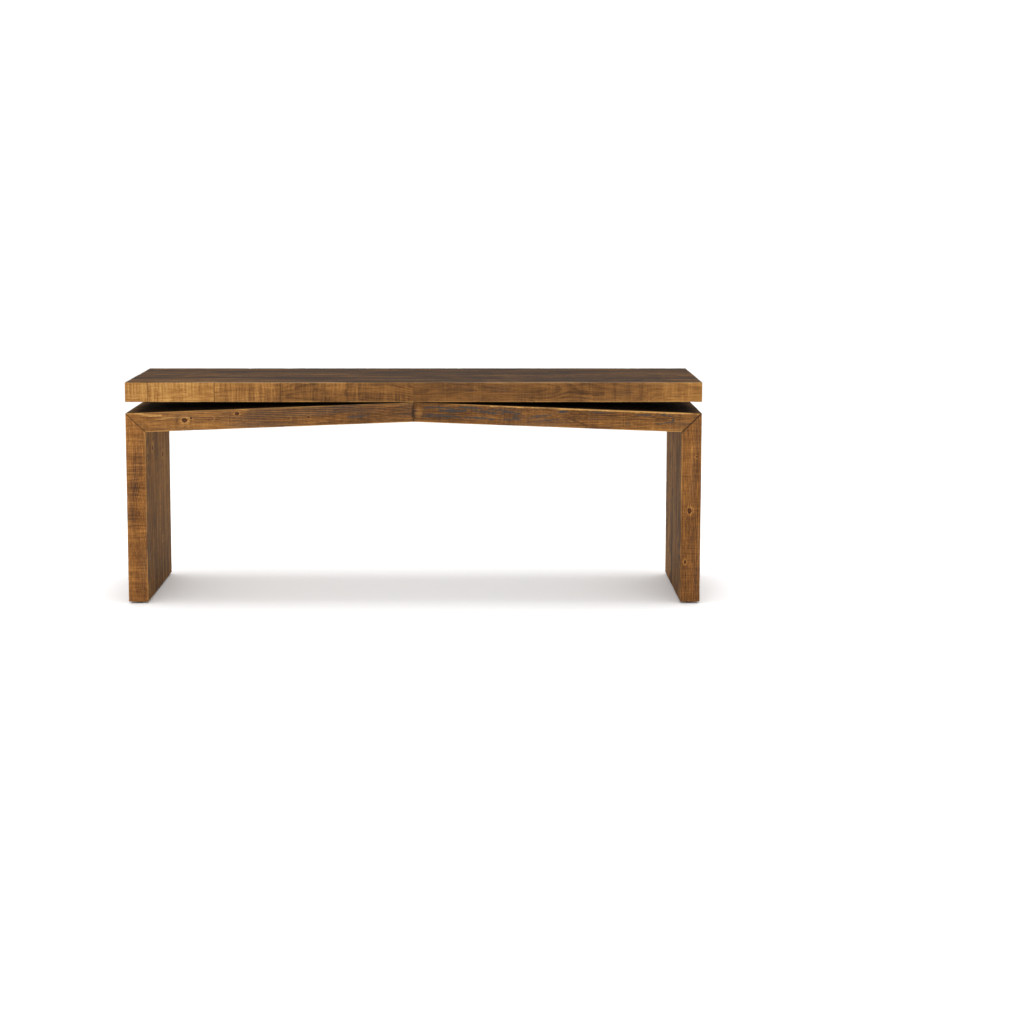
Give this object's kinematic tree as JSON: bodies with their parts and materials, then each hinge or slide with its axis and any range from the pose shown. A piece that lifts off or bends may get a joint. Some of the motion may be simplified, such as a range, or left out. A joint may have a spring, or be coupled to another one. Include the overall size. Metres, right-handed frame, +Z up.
{
  "type": "console table",
  "caption": "Long narrow console table in reclaimed pine: thick slab top over waterfall legs whose mitred panels slope up to meet at the middle, leaving a thin wedge-shaped gap.",
  "frame": {"origin": "on the floor, under the middle of the table", "axes": "+X along the table to the right-hand leg, +Y from the front to the back, +Z up"},
  "size_m": [2.0002, 0.381, 0.7811],
  "materials": {
    "slab_pine": "reclaimed pine, brown wax, rough-sawn",
    "leg_pine": "reclaimed pine, brown wax, rough-sawn",
    "panel_pine": "reclaimed pine, brown wax, rough-sawn",
    "plain_softwood": "planed, unfinished",
    "spline_plywood": "plywood, unfinished",
    "blackened_steel": "black oxide",
    "glide_plastic": "matt black"
  },
  "bodies": {
    "root": {"bolt_1": "blackened_steel", "bolt_2": "blackened_steel", "bolt_3": "blackened_steel", "bolt_4": "blackened_steel", "corner_spline_left": "spline_plywood", "corner_spline_right": "spline_plywood", "glide_back_left": "glide_plastic", "glide_back_right": "glide_plastic", "glide_front_left": "glide_plastic", "glide_front_right": "glide_plastic", "leg_left_stave_1": "leg_pine", "leg_left_stave_2": "leg_pine", "leg_left_stave_3": "leg_pine", "leg_left_stave_4": "leg_pine", "leg_left_stave_5": "leg_pine", "leg_right_stave_1": "leg_pine", "leg_right_stave_2": "leg_pine", "leg_right_stave_3": "leg_pine", "leg_right_stave_4": "leg_pine", "leg_right_stave_5": "leg_pine", "middle_spline": "spline_plywood", "panel_left_stave_1": "panel_pine", "panel_left_stave_2": "panel_pine", "panel_left_stave_3": "panel_pine", "panel_left_stave_4": "panel_pine", "panel_left_stave_5": "panel_pine", "panel_right_stave_1": "panel_pine", "panel_right_stave_2": "panel_pine", "panel_right_stave_3": "panel_pine", "panel_right_stave_4": "panel_pine", "panel_right_stave_5": "panel_pine", "riser_left": "plain_softwood", "riser_right": "plain_softwood", "slab_back_edge": "slab_pine", "slab_bottom_panel": "slab_pine", "slab_front_edge_1": "slab_pine", "slab_front_edge_2": "slab_pine", "slab_front_edge_3": "slab_pine", "slab_front_edge_4": "slab_pine", "slab_front_edge_5": "slab_pine", "slab_front_edge_6": "slab_pine", "slab_left_end_board_1": "slab_pine", "slab_left_end_board_2": "slab_pine", "slab_left_end_board_3": "slab_pine", "slab_left_end_board_4": "slab_pine", "slab_left_end_board_5": "slab_pine", "slab_rib_1": "plain_softwood", "slab_rib_2": "plain_softwood", "slab_rib_3": "plain_softwood", "slab_rib_4": "plain_softwood", "slab_right_end_board_1": "slab_pine", "slab_right_end_board_2": "slab_pine", "slab_right_end_board_3": "slab_pine", "slab_right_end_board_4": "slab_pine", "slab_right_end_board_5": "slab_pine", "slab_top_board_1": "slab_pine", "slab_top_board_2": "slab_pine", "slab_top_board_3": "slab_pine", "slab_top_board_4": "slab_pine", "slab_top_board_5": "slab_pine"}
  },
  "joints": []
}
